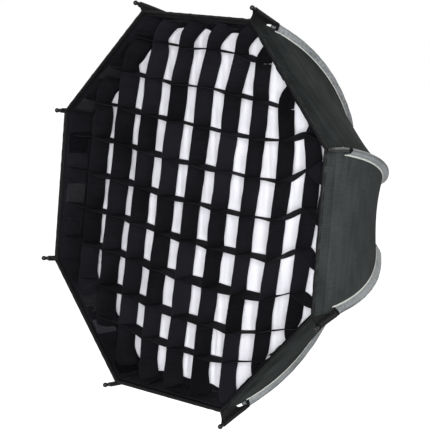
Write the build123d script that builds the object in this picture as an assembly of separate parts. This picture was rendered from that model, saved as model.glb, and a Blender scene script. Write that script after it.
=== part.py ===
"""Octagonal fabric softbox with an egg-crate grid fitted in its front.

The axis of the softbox lies along Y. The grid faces -Y and the light is fastened at +Y.
The origin is the centre of the light's bore, on the rear face of the adapter ring.

Most pieces are drawn once, as a master whose radial direction is +X, and are then turned
about the axis. A depth is a distance behind the front edge, and place(depth) is its Y.
Eight seams run from the corners of the front edge to the hub, each on two tangent arcs, a
wide one and a tighter one at the rear, and a fabric panel is stretched between two seams.
"""

import math
import os

from build123d import *

# ---- Driving dimensions: millimetres and degrees ----

# Octagon and bowed frame
SIDES = 8
across_flats = 457.2
front_angle = 10.0  # slope of a seam against the axis at the front edge
dome_depth = 249.0  # from the front edge to the rear end of a seam
seam_end_margin = 11.0  # the rear end of a seam stands this far outside the hub
rear_angle = 74.0  # slope of a seam and of its rod's socket at the hub
rear_bend_radius = 105.0

# Fabric layers, from the outside of the cover inwards
cover_thickness = 1.2
lining_thickness = 0.6
facing_thickness = 1.0
tape_thickness = 1.0
layer_gap = 0.1  # between layers that are sewn together
soft_gap = 0.3  # between soft pieces that come apart
cover_rear_margin = 4.0  # the cover ends this far before the seams' rear ends

# Lip in front of the diffuser
lip_depth = 46.0
binding_thickness = 0.8
binding_width = 3.5

# Rods and what covers them
rod_radius = 1.75
sleeve_radius = 4.0
sleeve_wall = 1.0
sleeve_front_depth = 41.0
sleeve_rear_margin = 13.0
seam_clearance = 0.2  # between a seam and its sleeve
cap_radius = 2.5
cap_ball_radius = 3.0
cap_front_overhang = 7.0  # the ball's centre lies this far in front of the front edge
cap_rear_depth = 30.0
rod_front_overhang = 4.0
rod_straight_depth = 70.0  # in front of this depth the rods run straight and leave the seams
snug_gap = 0.05  # radial clearance of a plugged end
tab_wall = 0.9
tab_front_depth = 5.0
tab_rear_depth = 26.0
tab_web_thickness = 1.6
tab_gap = 0.1

# Egg-crate grid
cells_across = 10
strip_depth = 27.0
strip_thickness = 1.2
strip_front_depth = 5.0
slot_clearance = 0.2
grid_rim_thickness = 1.2
grid_rim_front_depth = 4.0
grid_rim_rear_depth = 34.0
grid_tape_front_depth = 9.0
grid_tape_width = 18.0

# Diffuser
diffuser_thickness = 1.2
diffuser_depth = 40.5
border_thickness = 1.0
border_width = 7.5
skirt_thickness = 1.0
skirt_front_depth = 37.0
skirt_rear_depth = 45.0
diffuser_tape_width = 6.0

# Hub, which carries the rods
hub_ring_width = 20.0  # from the spigot to the hub's outer face
hub_wall = 2.0  # least plastic over a socket
socket_radius = 4.0
socket_length = 26.0
socket_bore_depth = 22.0
socket_screw_radius = 1.5
socket_screw_edge = 6.0  # from a screw's centre to the hub's outer face
collar_thickness = 1.2
collar_edge = 6.0  # the flat part of the collar starts this far inside the hub's outer face
collar_land_width = 5.0

# Adapter ring, which the hub turns on and the light plugs into
bore_radius = 43.0
spigot_wall = 7.0
running_gap = 0.1  # radial clearance between the hub and the spigot
end_play = 0.3
flange_width = 12.0  # from the spigot to the flange's edge
flange_thickness = 6.0
flange_hole_radius = 2.25
flange_hole_depth = 5.0
flange_hole_edge = 6.0  # from a hole's centre to the flange's edge
flange_hole_count = 4
retainer_overlap = 7.0  # the retaining ring is this much wider than the spigot
retainer_thickness = 3.0
retainer_relief = 0.5  # its hole is this much wider than the bore
retainer_screw_count = 4
retainer_screw_radius = 1.5
retainer_screw_length = 9.0
retainer_head_radius = 2.75
retainer_head_height = 1.8

# Lock screw, which clamps the hub on the spigot
lock_direction = 270.0  # degrees round the front, from +X towards +Z
lock_screw_radius = 3.0
lock_pad_radius = 2.4
lock_pad_length = 4.0
lock_pad_gap = 0.3  # from the pad to the spigot
lock_knob_radius = 11.0
lock_knob_length = 16.0
lock_knob_flute_radius = 3.0
lock_knob_flutes = 6
lock_knob_gap = 2.0

# ---- Worked-out geometry ----

half_side = 180 / SIDES
flat_ratio = math.cos(math.radians(half_side))  # side distance over corner distance
corner_radius = across_flats / 2 / flat_ratio
cell_pitch = across_flats / cells_across

# The adapter, the hub and the seams' rear ends are laid round the light's bore.
spigot_radius = bore_radius + spigot_wall
flange_radius = spigot_radius + flange_width
flange_hole_circle_radius = flange_radius - flange_hole_edge
retainer_radius = spigot_radius + retainer_overlap
hub_outer_radius = spigot_radius + hub_ring_width
socket_screw_ring_radius = hub_outer_radius - socket_screw_edge
collar_land_radius = hub_outer_radius - collar_edge  # measured to its sides
collar_inner_radius = collar_land_radius - collar_land_width
seam_end_radius = hub_outer_radius + seam_end_margin


def sin(angle):
    return math.sin(math.radians(angle))


def cos(angle):
    return math.cos(math.radians(angle))


def tan(angle):
    return math.tan(math.radians(angle))


# The rear arc ends on the hub at rear_angle. The front arc leaves the corner at front_angle
# and meets the rear one where both have the slope break_angle.
rear_centre_x = seam_end_radius - rear_bend_radius * cos(rear_angle)
rear_centre_depth = dome_depth - rear_bend_radius * sin(rear_angle)
to_corner_x = corner_radius - rear_centre_x
to_corner_depth = -rear_centre_depth
front_bend_radius = (to_corner_x**2 + to_corner_depth**2 - rear_bend_radius**2) / (
    2 * (to_corner_x * cos(front_angle) + to_corner_depth * sin(front_angle) - rear_bend_radius)
)
front_centre_x = corner_radius - front_bend_radius * cos(front_angle)
front_centre_depth = -front_bend_radius * sin(front_angle)
break_angle = math.degrees(
    math.atan2(rear_centre_depth - front_centre_depth, rear_centre_x - front_centre_x)
)

# The rods follow the seams, further out. Each ends straight, in a socket of the hub.
rod_outset = seam_clearance + sleeve_radius
mouth_x = seam_end_radius + rod_outset * cos(rear_angle)
mouth_depth = dome_depth + rod_outset * sin(rear_angle)

# The hub is as thick as the slanted sockets need.
socket_half_height = socket_radius / sin(rear_angle)
entry_depth = mouth_depth + (mouth_x - hub_outer_radius) / tan(rear_angle)
hub_front_depth = entry_depth - socket_half_height - hub_wall
hub_rear_depth = (
    mouth_depth + socket_length * cos(rear_angle) + socket_radius * sin(rear_angle) + hub_wall
)
mount_depth = hub_rear_depth + end_play + flange_thickness


def place(depth):
    """Y of a plane at this depth behind the front edge."""
    return depth - mount_depth


hub_front_y = place(hub_front_depth)
hub_rear_y = place(hub_rear_depth)
recess_front_y = hub_front_y + end_play + retainer_thickness + end_play
spigot_front_y = hub_front_y + end_play + retainer_thickness
cover_rear_depth = dome_depth - cover_rear_margin

# Distances of the layers inside the seams
lining_inset = cover_thickness + layer_gap
facing_inset = cover_thickness + layer_gap
lip_tape_inset = facing_inset + facing_thickness + layer_gap
hook_inset = lip_tape_inset + tape_thickness + soft_gap
rim_inset = hook_inset + tape_thickness + layer_gap
strip_inset = rim_inset + grid_rim_thickness + layer_gap
lip_thickness = facing_inset + facing_thickness
lining_inner_inset = lining_inset + lining_thickness


# ---- Shared constructions ----


def turned(shape, direction):
    """The master shape with its radial direction turned from +X towards +Z."""
    return Rot(0, -direction, 0) * shape


def corner_directions():
    return [half_side + 360 / SIDES * i for i in range(SIDES)]


def side_directions():
    return [360 / SIDES * i for i in range(SIDES)]


def arc_at(angle, outset=0.0):
    """Centre X, centre depth and radius of the arc that holds this slope."""
    if angle <= break_angle:
        return front_centre_x, front_centre_depth, front_bend_radius + outset
    return rear_centre_x, rear_centre_depth, rear_bend_radius + outset


def seam_point(angle, outset=0.0):
    """Place where a seam, moved outwards by outset, has this slope against the axis."""
    centre_x, centre_depth, radius = arc_at(angle, outset)
    return centre_x + radius * cos(angle), place(centre_depth + radius * sin(angle))


def seam_angle(depth, outset=0.0):
    """Slope of a seam, moved outwards by outset, at a depth."""
    angle = math.degrees(
        math.asin((depth - front_centre_depth) / (front_bend_radius + outset))
    )
    if angle <= break_angle:
        return angle
    return math.degrees(math.asin((depth - rear_centre_depth) / (rear_bend_radius + outset)))


def arc_spans(first, last):
    """The stretches between two slopes that lie on one arc each."""
    if first < break_angle < last:
        return [(first, break_angle), (break_angle, last)]
    return [(first, last)]


def side_distance(depth, inset=0.0):
    """Distance from the axis to the middle of a side, at a depth."""
    return flat_ratio * seam_point(seam_angle(depth, -inset), -inset)[0]


def side_curve(inset, first_depth, last_depth):
    """Section of a side through its middle, where the seam's arcs are narrowed to ellipses."""
    curves = []
    for first, last in arc_spans(seam_angle(first_depth, -inset), seam_angle(last_depth, -inset)):
        centre_x, centre_depth, radius = arc_at((first + last) / 2, -inset)
        curves.append(
            EllipticalCenterArc(
                (flat_ratio * centre_x, place(centre_depth)),
                flat_ratio * radius,
                radius,
                start_angle=first,
                arc_size=last - first,
            )
        )
    return curves


def facet(section):
    """One side of an octagonal body: a section drawn in X and Y, mitred to its neighbours."""
    reach = 2 * corner_radius
    half_width = reach * tan(half_side)
    wedge = make_face(Polyline((0, 0), (reach, -half_width), (reach, half_width), (0, 0)))
    return extrude(section, reach, both=True) & extrude(Plane.XZ * wedge, reach, both=True)


def fused_octagon(side):
    """Eight copies of a side, joined to a ring."""
    ring = Part()
    for direction in side_directions():
        ring += turned(side, direction)
    return ring


def layer_section(inset, thickness, front_depth, rear_depth):
    """Section of a fabric layer that follows the sides between two depths."""
    outer = side_curve(inset, front_depth, rear_depth)
    inner = side_curve(inset + thickness, front_depth, rear_depth)
    rear = Line(outer[-1] @ 1, inner[-1] @ 1)
    front = Line(inner[0] @ 0, outer[0] @ 0)
    return make_face([*outer, rear, *inner, front])


def layer_side(inset, thickness, front_depth, rear_depth):
    return facet(layer_section(inset, thickness, front_depth, rear_depth))


def layer_ring(inset, thickness, front_depth, rear_depth):
    return fused_octagon(layer_side(inset, thickness, front_depth, rear_depth))


def flat_octagon(side_radius, depth, thickness):
    """Plate whose front face lies at a depth."""
    face = RegularPolygon(side_radius, SIDES, major_radius=False, rotation=half_side)
    return Plane((0, place(depth), 0), x_dir=(1, 0, 0), z_dir=(0, 1, 0)) * extrude(face, thickness)


def rod_slope(depth):
    """Slope of a rod at a depth: that of the seam, as far forwards as the rod follows it."""
    return seam_angle(max(depth, rod_straight_depth), rod_outset)


def rod_point(depth):
    """Place of a rod's axis at a depth."""
    slope = rod_slope(depth)
    x, y = seam_point(slope, rod_outset)
    ahead = max(rod_straight_depth - depth, 0)
    return x + ahead * tan(slope), y - ahead


def across_rod(point, slope):
    """Plane square to a rod. Its X points outwards and its normal points rearwards."""
    return Plane((*point, 0), x_dir=(cos(slope), sin(slope), 0), z_dir=(-sin(slope), cos(slope), 0))


def along_rod(section, front_depth, rear_depth):
    """Sweeps a section along a rod between two depths."""
    bar = Part()
    if front_depth < rod_straight_depth:
        run = min(rear_depth, rod_straight_depth) - front_depth
        slope = rod_slope(front_depth)
        bar += extrude(across_rod(rod_point(front_depth), slope) * section, run / cos(slope))
    if rear_depth > rod_straight_depth:
        for first, last in arc_spans(rod_slope(front_depth), rod_slope(rear_depth)):
            centre_x, centre_depth, _ = arc_at((first + last) / 2)
            start = across_rod(seam_point(first, rod_outset), first)
            centre = Axis((centre_x, place(centre_depth), 0), (0, 0, 1))
            bar += revolve(start * section, centre, last - first)
    return bar


def socket_bar(radius, first, last):
    """Straight round bar on a socket's axis, between two distances behind its mouth."""
    heading = Vector(-sin(rear_angle), cos(rear_angle), 0)
    start = Vector(mouth_x, place(mouth_depth), 0) + heading * first
    return Plane(start, z_dir=heading) * Cylinder(
        radius, last - first, align=(Align.CENTER, Align.CENTER, Align.MIN)
    )


def axial_bar(radius, front_y, rear_y, x=0.0):
    """Round bar parallel to the axis."""
    return Plane((x, front_y, 0), z_dir=(0, 1, 0)) * Cylinder(
        radius, rear_y - front_y, align=(Align.CENTER, Align.CENTER, Align.MIN)
    )


def radial_bar(radius, inner, outer, y):
    """Round bar that points away from the axis, on the master direction."""
    return Plane((inner, y, 0), z_dir=(1, 0, 0)) * Cylinder(
        radius, outer - inner, align=(Align.CENTER, Align.CENTER, Align.MIN)
    )


def copies(shape, directions):
    """Separate copies of a master, as one group."""
    return Compound([solid for d in directions for solid in turned(shape, d).solids()])


# ---- Cover ----


def cover_panel():
    return layer_side(0, cover_thickness, binding_thickness, cover_rear_depth)


def silver_lining():
    """Reflective layer on the inside of each panel, behind the lip."""
    front = lip_depth + layer_gap
    return copies(
        layer_side(lining_inset, lining_thickness, front, cover_rear_depth), side_directions()
    )


def lip_facing():
    return layer_ring(facing_inset, facing_thickness, binding_thickness, lip_depth)


def lip_binding():
    """Tape folded over the front edge of the cover and its facing."""
    outside = layer_side(
        -binding_thickness, binding_thickness - snug_gap, 0, binding_width
    )
    inside = layer_side(lip_thickness + snug_gap, binding_thickness, 0, binding_width)
    front = layer_side(
        -binding_thickness,
        lip_thickness + snug_gap + 2 * binding_thickness,
        0,
        binding_thickness - snug_gap,
    )
    return fused_octagon(outside + inside + front)


def grid_loop_tape():
    first = grid_tape_front_depth
    return layer_ring(lip_tape_inset, tape_thickness, first, first + grid_tape_width)


def diffuser_loop_tape():
    last = skirt_rear_depth
    return layer_ring(lip_tape_inset, tape_thickness, last - diffuser_tape_width, last)


def rear_collar():
    """Fabric cone that closes the cover on the hub's front face."""
    rim = side_distance(cover_rear_depth, lining_inner_inset + soft_gap)
    rim_y = place(cover_rear_depth)
    outline = [(rim, rim_y), (collar_land_radius, hub_front_y), (collar_inner_radius, hub_front_y)]
    inner = [(x, y - collar_thickness) for x, y in reversed(outline)]
    return fused_octagon(facet(make_face(Polyline(*outline, *inner, outline[0]))))


# ---- Frame ----


def rod():
    """Spring rod: bowed along its seam, straight at its tip and in its socket."""
    bow = along_rod(Circle(rod_radius), -rod_front_overhang, mouth_depth)
    return bow + socket_bar(rod_radius, 0, socket_bore_depth - snug_gap)


def rod_sleeve():
    section = Circle(sleeve_radius) - Circle(sleeve_radius - sleeve_wall)
    return along_rod(section, sleeve_front_depth, dome_depth - sleeve_rear_margin)


def rod_tip_cap():
    """Moulded cap with a ball end, pushed over the front of a rod."""
    ball = Pos(*rod_point(-cap_front_overhang)) * Sphere(cap_ball_radius)
    cap = along_rod(Circle(cap_radius), -cap_front_overhang, cap_rear_depth) + ball
    bore_front = -rod_front_overhang - snug_gap
    return cap - along_rod(Circle(rod_radius + snug_gap), bore_front, cap_rear_depth)


def corner_tab():
    """Webbing looped round a tip cap, with a web that ties it to the corner of the cover."""
    hole = cap_radius + tab_gap
    loop = along_rod(Circle(hole + tab_wall), tab_front_depth, tab_rear_depth)
    first = seam_angle(tab_front_depth, tab_gap)
    last = seam_angle(tab_rear_depth, tab_gap)
    centre_x, centre_depth, radius = arc_at(first, tab_gap)
    foot = CenterArc((centre_x, place(centre_depth)), radius, first, last - first)
    outline = Polyline(foot @ 1, rod_point(tab_rear_depth), rod_point(tab_front_depth), foot @ 0)
    web = extrude(make_face([foot, outline]), tab_web_thickness / 2, both=True)
    return loop + web - along_rod(Circle(hole), tab_front_depth - hole, tab_rear_depth + hole)


# ---- Hub ----


def hub_ring():
    """Moulded ring with a slanted hole for each rod socket and a recess for the retainer."""
    ring = axial_bar(hub_outer_radius, hub_front_y, hub_rear_y)
    ring -= axial_bar(spigot_radius + running_gap, hub_front_y, hub_rear_y)
    ring -= axial_bar(retainer_radius + soft_gap, hub_front_y, recess_front_y)
    socket_hole = socket_bar(socket_radius + snug_gap, 0, socket_length + snug_gap)
    screw_hole = axial_bar(
        socket_screw_radius + snug_gap, socket_axis_y(), hub_rear_y, socket_screw_ring_radius
    )
    for direction in corner_directions():
        ring -= turned(socket_hole + screw_hole, direction)
    lock_hole = radial_bar(lock_screw_radius + snug_gap, 0, hub_outer_radius, lock_y())
    return ring - turned(lock_hole, lock_direction)


def socket_axis_y():
    """Y of a socket's axis where its clamping screw meets it."""
    run = (mouth_x - socket_screw_ring_radius) / tan(rear_angle)
    return place(mouth_depth + run)


def rod_socket():
    tube = socket_bar(socket_radius, 0, socket_length)
    return tube - socket_bar(rod_radius + snug_gap, 0, socket_bore_depth)


def socket_screw():
    """Headless screw that holds a socket in the hub."""
    tip_y = socket_axis_y() + socket_half_height + snug_gap
    tip_y += socket_screw_radius / tan(rear_angle)
    key = Plane((socket_screw_ring_radius, hub_rear_y, 0), z_dir=(0, -1, 0)) * extrude(
        RegularPolygon(socket_screw_radius / 2, 6), (hub_rear_y - tip_y) / 2
    )
    return axial_bar(socket_screw_radius, tip_y, hub_rear_y, socket_screw_ring_radius) - key


# ---- Adapter ring ----


def retainer_screw_directions():
    return [half_side * 2 + 360 / retainer_screw_count * i for i in range(retainer_screw_count)]


def retainer_screw_x():
    return (bore_radius + spigot_radius) / 2


def adapter_ring():
    ring = axial_bar(flange_radius, -flange_thickness, 0)
    ring += axial_bar(spigot_radius, spigot_front_y, 0)
    ring -= axial_bar(bore_radius, spigot_front_y, 0)
    flange_hole = axial_bar(
        flange_hole_radius, -flange_hole_depth, 0, flange_hole_circle_radius
    )
    for i in range(flange_hole_count):
        ring -= turned(flange_hole, 360 / flange_hole_count * i)
    screw_hole = axial_bar(
        retainer_screw_radius + snug_gap,
        spigot_front_y,
        spigot_front_y + retainer_screw_length,
        retainer_screw_x(),
    )
    for direction in retainer_screw_directions():
        ring -= turned(screw_hole, direction)
    return ring


def retaining_ring():
    front_y = spigot_front_y - retainer_thickness
    ring = axial_bar(retainer_radius, front_y, spigot_front_y)
    ring -= axial_bar(bore_radius + retainer_relief, front_y, spigot_front_y)
    hole = axial_bar(
        retainer_screw_radius + snug_gap, front_y, spigot_front_y, retainer_screw_x()
    )
    head = axial_bar(
        retainer_head_radius + snug_gap, front_y, front_y + retainer_head_height, retainer_screw_x()
    )
    for direction in retainer_screw_directions():
        ring -= turned(hole + head, direction)
    return ring


def retaining_screw():
    front_y = spigot_front_y - retainer_thickness
    seat_y = front_y + retainer_head_height
    head = axial_bar(retainer_head_radius, front_y, seat_y, retainer_screw_x())
    shank = axial_bar(
        retainer_screw_radius, front_y, spigot_front_y + retainer_screw_length - snug_gap,
        retainer_screw_x(),
    )
    return head + shank


# ---- Lock screw ----


def lock_y():
    return (recess_front_y + hub_rear_y) / 2


def lock_pad():
    """Soft pad at the tip of the lock screw."""
    inner = spigot_radius + lock_pad_gap
    return radial_bar(lock_pad_radius, inner, inner + lock_pad_length, lock_y())


def lock_screw():
    inner = spigot_radius + lock_pad_gap + lock_pad_length + snug_gap
    outer = hub_outer_radius + lock_knob_gap + lock_knob_length / 2
    return radial_bar(lock_screw_radius, inner, outer, lock_y())


def lock_knob():
    first = hub_outer_radius + lock_knob_gap
    knob = radial_bar(lock_knob_radius, first, first + lock_knob_length, lock_y())
    screw_end = first + lock_knob_length / 2 + snug_gap
    knob -= radial_bar(lock_screw_radius + snug_gap, first, screw_end, lock_y())
    flute = Pos(0, lock_knob_radius, 0) * radial_bar(
        lock_knob_flute_radius, first, first + lock_knob_length, lock_y()
    )
    for i in range(lock_knob_flutes):
        turn = Axis((0, lock_y(), 0), (1, 0, 0))
        knob -= flute.rotate(turn, 360 / lock_knob_flutes * i)
    return knob


# ---- Grid ----


def strip_places():
    """Distances of the strips from the axis, evenly spaced on both sides of it."""
    return [(i - cells_across / 2) * cell_pitch for i in range(1, cells_across)]


def strips_cross(a, b):
    """Whether the strips at these two distances meet inside the octagon."""
    side = side_distance(strip_front_depth, strip_inset)
    return max(abs(a), abs(b)) < side and abs(a) + abs(b) < side * math.sqrt(2)


def grid_room():
    """Solid octagon that fills the grid's rim."""
    last = strip_front_depth + strip_depth
    curves = side_curve(strip_inset, strip_front_depth, last)
    front = (0, place(strip_front_depth))
    rear = (0, place(last))
    across = [Line(curves[-1] @ 1, rear), Line(rear, front), Line(front, curves[0] @ 0)]
    return fused_octagon(facet(make_face([*curves, *across])))


def vertical_strip(x, room):
    """Strip parallel to Z, slotted from its rear edge to the middle at each crossing."""
    middle_y = place(strip_front_depth + strip_depth / 2)
    rear_y = place(strip_front_depth + strip_depth)
    strip = Pos(x, middle_y, 0) * Box(strip_thickness, strip_depth, across_flats) & room
    slot_width = strip_thickness + 2 * slot_clearance
    for z in strip_places():
        if strips_cross(x, z):
            strip -= Pos(x, rear_y, z) * Box(slot_width, strip_depth + slot_clearance, slot_width)
    return strip


def horizontal_strip(z, room):
    """Strip parallel to X, slotted from its front edge to the middle at each crossing."""
    middle_y = place(strip_front_depth + strip_depth / 2)
    front_y = place(strip_front_depth)
    strip = Pos(0, middle_y, z) * Box(across_flats, strip_depth, strip_thickness) & room
    slot_width = strip_thickness + 2 * slot_clearance
    for x in strip_places():
        if strips_cross(x, z):
            strip -= Pos(x, front_y, z) * Box(slot_width, strip_depth + slot_clearance, slot_width)
    return strip


def grid_rim():
    return layer_ring(rim_inset, grid_rim_thickness, grid_rim_front_depth, grid_rim_rear_depth)


def grid_hook_tape():
    first = grid_tape_front_depth
    return layer_ring(hook_inset, tape_thickness, first, first + grid_tape_width)


# ---- Diffuser ----


def diffuser_border():
    """Black frame round the white panel, with a skirt that follows the lip."""
    side = side_distance(diffuser_depth, rim_inset + skirt_thickness / 2)
    front = diffuser_depth - layer_gap - border_thickness
    frame = flat_octagon(side, front, border_thickness)
    frame -= flat_octagon(side - border_width, front, border_thickness)
    return frame + layer_ring(rim_inset, skirt_thickness, skirt_front_depth, skirt_rear_depth)


def diffuser_panel():
    rear = diffuser_depth + diffuser_thickness
    side = side_distance(rear, rim_inset + skirt_thickness + layer_gap)
    return flat_octagon(side, diffuser_depth, diffuser_thickness)


def diffuser_hook_tape():
    last = skirt_rear_depth
    return layer_ring(hook_inset, tape_thickness, last - diffuser_tape_width, last)


# ---- Nodes ----


def build():
    """Every named piece, in the shared frame."""
    nodes = {
        "adapter_ring": adapter_ring(),
        "retaining_ring": retaining_ring(),
        "retaining_screws": copies(retaining_screw(), retainer_screw_directions()),
        "hub_ring": hub_ring(),
        "rod_sockets": copies(rod_socket(), corner_directions()),
        "socket_screws": copies(socket_screw(), corner_directions()),
        "lock_pad": turned(lock_pad(), lock_direction),
        "lock_screw": turned(lock_screw(), lock_direction),
        "lock_knob": turned(lock_knob(), lock_direction),
        "rear_collar": rear_collar(),
        "silver_lining": silver_lining(),
        "lip_facing": lip_facing(),
        "lip_binding": lip_binding(),
        "grid_loop_tape": grid_loop_tape(),
        "diffuser_loop_tape": diffuser_loop_tape(),
        "rod_sleeves": copies(rod_sleeve(), corner_directions()),
        "rod_tip_caps": copies(rod_tip_cap(), corner_directions()),
        "corner_tabs": copies(corner_tab(), corner_directions()),
        "diffuser_panel": diffuser_panel(),
        "diffuser_border": diffuser_border(),
        "diffuser_hook_tape": diffuser_hook_tape(),
        "grid_rim": grid_rim(),
        "grid_hook_tape": grid_hook_tape(),
    }
    panel = cover_panel()
    for i, direction in enumerate(side_directions(), 1):
        nodes[f"cover_panel_{i}"] = turned(panel, direction)
    bar = rod()
    for i, direction in enumerate(corner_directions(), 1):
        nodes[f"rod_{i}"] = turned(bar, direction)
    room = grid_room()
    for i, distance in enumerate(strip_places(), 1):
        nodes[f"grid_strip_v{i}"] = vertical_strip(distance, room)
        nodes[f"grid_strip_h{i}"] = horizontal_strip(distance, room)
    return nodes


os.makedirs("parts", exist_ok=True)
for name, shape in build().items():
    export_step(shape, f"parts/{name}.step")
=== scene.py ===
"""Looks of an octagonal fabric softbox with an egg-crate grid in its front.

Everything is in metres, in the part's frame: the axis lies along Y, the grid faces -Y and
+Z is up. A depth is a distance behind the front edge of the lip. Eight seams run from the
corners of the front to the hub, each on two tangent arcs, and a slope is a seam's angle
against the axis. Directions go round the axis, from +X towards +Z.
"""

import bmesh
import bpy
import numpy as np
from mathutils import Matrix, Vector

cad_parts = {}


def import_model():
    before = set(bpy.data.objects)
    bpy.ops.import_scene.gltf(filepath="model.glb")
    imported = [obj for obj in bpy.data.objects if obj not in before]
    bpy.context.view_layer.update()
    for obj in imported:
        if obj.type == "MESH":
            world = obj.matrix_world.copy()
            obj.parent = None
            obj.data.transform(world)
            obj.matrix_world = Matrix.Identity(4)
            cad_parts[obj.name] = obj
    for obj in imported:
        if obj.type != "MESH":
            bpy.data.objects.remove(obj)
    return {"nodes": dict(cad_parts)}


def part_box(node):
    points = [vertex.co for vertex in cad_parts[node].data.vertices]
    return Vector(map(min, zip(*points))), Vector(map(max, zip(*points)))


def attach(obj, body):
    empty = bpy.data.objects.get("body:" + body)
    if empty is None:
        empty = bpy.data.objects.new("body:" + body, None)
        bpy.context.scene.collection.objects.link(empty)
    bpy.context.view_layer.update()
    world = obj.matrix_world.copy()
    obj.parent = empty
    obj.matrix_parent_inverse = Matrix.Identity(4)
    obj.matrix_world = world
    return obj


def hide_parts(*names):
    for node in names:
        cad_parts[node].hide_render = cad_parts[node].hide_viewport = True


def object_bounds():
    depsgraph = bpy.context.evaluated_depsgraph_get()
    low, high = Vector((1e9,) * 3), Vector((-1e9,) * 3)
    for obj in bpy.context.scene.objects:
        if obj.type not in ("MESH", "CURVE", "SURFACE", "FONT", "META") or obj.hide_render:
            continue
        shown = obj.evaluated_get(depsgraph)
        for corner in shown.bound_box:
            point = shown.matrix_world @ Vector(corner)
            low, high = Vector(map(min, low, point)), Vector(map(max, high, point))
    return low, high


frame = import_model()
cad_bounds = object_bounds()

# ---- Dimensions of the softbox ----

half_side = np.pi / 8
across_flats = 0.4572
corner_radius = across_flats / 2 / np.cos(half_side)
side_length = 2 * corner_radius * np.sin(half_side)
front_slope, rear_slope = np.radians([10.0, 74.0])
dome_depth = 0.249
seam_end_radius = 0.081
rear_bend = 0.105
cover_front, cover_rear = 0.0008, 0.245
inner_inset = 0.0015  # of the lining and the lip's facing
lip_depth = 0.046
rod_radius = 0.00175
rod_outset = 0.0042
rod_straight_depth = 0.07
tip_depth = -0.007
socket_bore = 0.0218
sleeve_front, sleeve_rear = 0.041, 0.236
cells_across = 10
strip_places = (np.arange(1, cells_across) - cells_across / 2) * across_flats / cells_across
crossings = np.meshgrid(strip_places, strip_places, indexing="ij")  # in X and Z
strip_front, strip_rear = 0.005, 0.032
strip_depth = strip_rear - strip_front
strip_inset = 0.0061
diffuser_depth = 0.0405
skirt_inset = 0.0052
front_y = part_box("lip_binding")[0].y

# The two arcs of a seam, as (radius, depth) of their centres
rear_centre = np.array([seam_end_radius, dome_depth]) - rear_bend * np.array(
    [np.cos(rear_slope), np.sin(rear_slope)]
)
to_rear = rear_centre - np.array([corner_radius, 0.0])
heading = np.array([np.cos(front_slope), np.sin(front_slope)])
front_bend = (rear_bend**2 - to_rear @ to_rear) / (2 * (to_rear @ heading + rear_bend))
front_centre = np.array([corner_radius, 0.0]) - front_bend * heading
break_slope = np.arctan2(*(rear_centre - front_centre)[::-1])

# How far each rod's tip has gone from its place, outwards and to the side
TIP_LEANS = [
    (-0.0011, -0.0065), (0.0015, -0.0028), (-0.0050, 0.0004), (-0.0090, 0.0023),
    (-0.0030, -0.0047), (-0.0061, -0.0075), (0.0028, 0.0025), (0.0032, -0.0041),
]

# ---- Shapes shared by the pieces ----


def slope_at(depth, outset=0.0):
    """Slope of a seam at a depth: the arcsine of the way behind an arc's centre over its bend."""
    wide = np.clip((depth - front_centre[1]) / (front_bend + outset), -1, 1)
    tight = np.clip((depth - rear_centre[1]) / (rear_bend + outset), -1, 1)
    return np.where(np.arcsin(wide) <= break_slope, np.arcsin(wide), np.arcsin(tight))


def seam(slope, outset=0.0):
    """Radius and Y of a seam at a slope: an arc's centre plus its bend times (cos, sin)."""
    wide = slope <= break_slope
    bend = np.where(wide, front_bend, rear_bend) + outset
    radius = np.where(wide, front_centre[0], rear_centre[0]) + bend * np.cos(slope)
    depth = np.where(wide, front_centre[1], rear_centre[1]) + bend * np.sin(slope)
    return radius, front_y + depth


def run_of(slope):
    """Length along a seam from the front edge to a slope: bend times turn on each arc."""
    wide = front_bend * (np.minimum(slope, break_slope) - front_slope)
    return wide + rear_bend * np.maximum(slope - break_slope, 0)


def slope_of(run):
    """The slope at a length along a seam: the inverse of run_of."""
    wide = front_bend * (break_slope - front_slope)
    turn = np.minimum(run, wide) / front_bend + np.maximum(run - wide, 0) / rear_bend
    return front_slope + turn


def runs(first_depth, last_depth, count):
    """A column of even lengths along a seam, from one depth to another."""
    return np.linspace(*run_of(slope_at(np.array([first_depth, last_depth]))), count)[:, None]


def rod_line(number, slope):
    """Radius, Y and sideways place of a rod's axis: outset square to its seam.

    In front it goes straight on, and leans with the square of the way to its tip.
    """
    bent = np.maximum(slope, slope_at(rod_straight_depth, rod_outset))
    radius, y = seam(bent, rod_outset)
    ahead = (front_bend + rod_outset) * (bent - slope)
    whole = (rod_straight_depth - tip_depth) / np.cos(bent)
    out, side = (lean * (ahead / whole) ** 2 for lean in TIP_LEANS[number - 1])
    return radius + ahead * np.sin(bent) + out, y - ahead * np.cos(bent), side


def rod_slope(depth):
    """The slope at which rod_line reaches a depth of its straight front."""
    bent = slope_at(rod_straight_depth, rod_outset)
    return bent - (rod_straight_depth - depth) / np.cos(bent) / (front_bend + rod_outset)


def side_distance(depth, inset=0.0):
    """Distance of a side's middle from the axis at a depth."""
    return np.cos(half_side) * seam(slope_at(depth, -inset), -inset)[0]


def reach_at(side, aside):
    """Half the octagon's width on a line that passes its middle at a distance."""
    return np.minimum(side, np.sqrt(2) * side - np.abs(aside))


def corner_direction(number):
    return 45.0 * number - 22.5


def unit(vector):
    """A vector, or each in a row of them, made 1 long."""
    return vector / np.linalg.norm(vector, axis=-1, keepdims=True)


def laid_round(radial, y, across, direction):
    """Points at a radial distance and a distance across it, turned to a direction."""
    turn = np.radians(direction)
    x = radial * np.cos(turn) - across * np.sin(turn)
    z = radial * np.sin(turn) + across * np.cos(turn)
    return np.stack(np.broadcast_arrays(x, y, z), -1)


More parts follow.
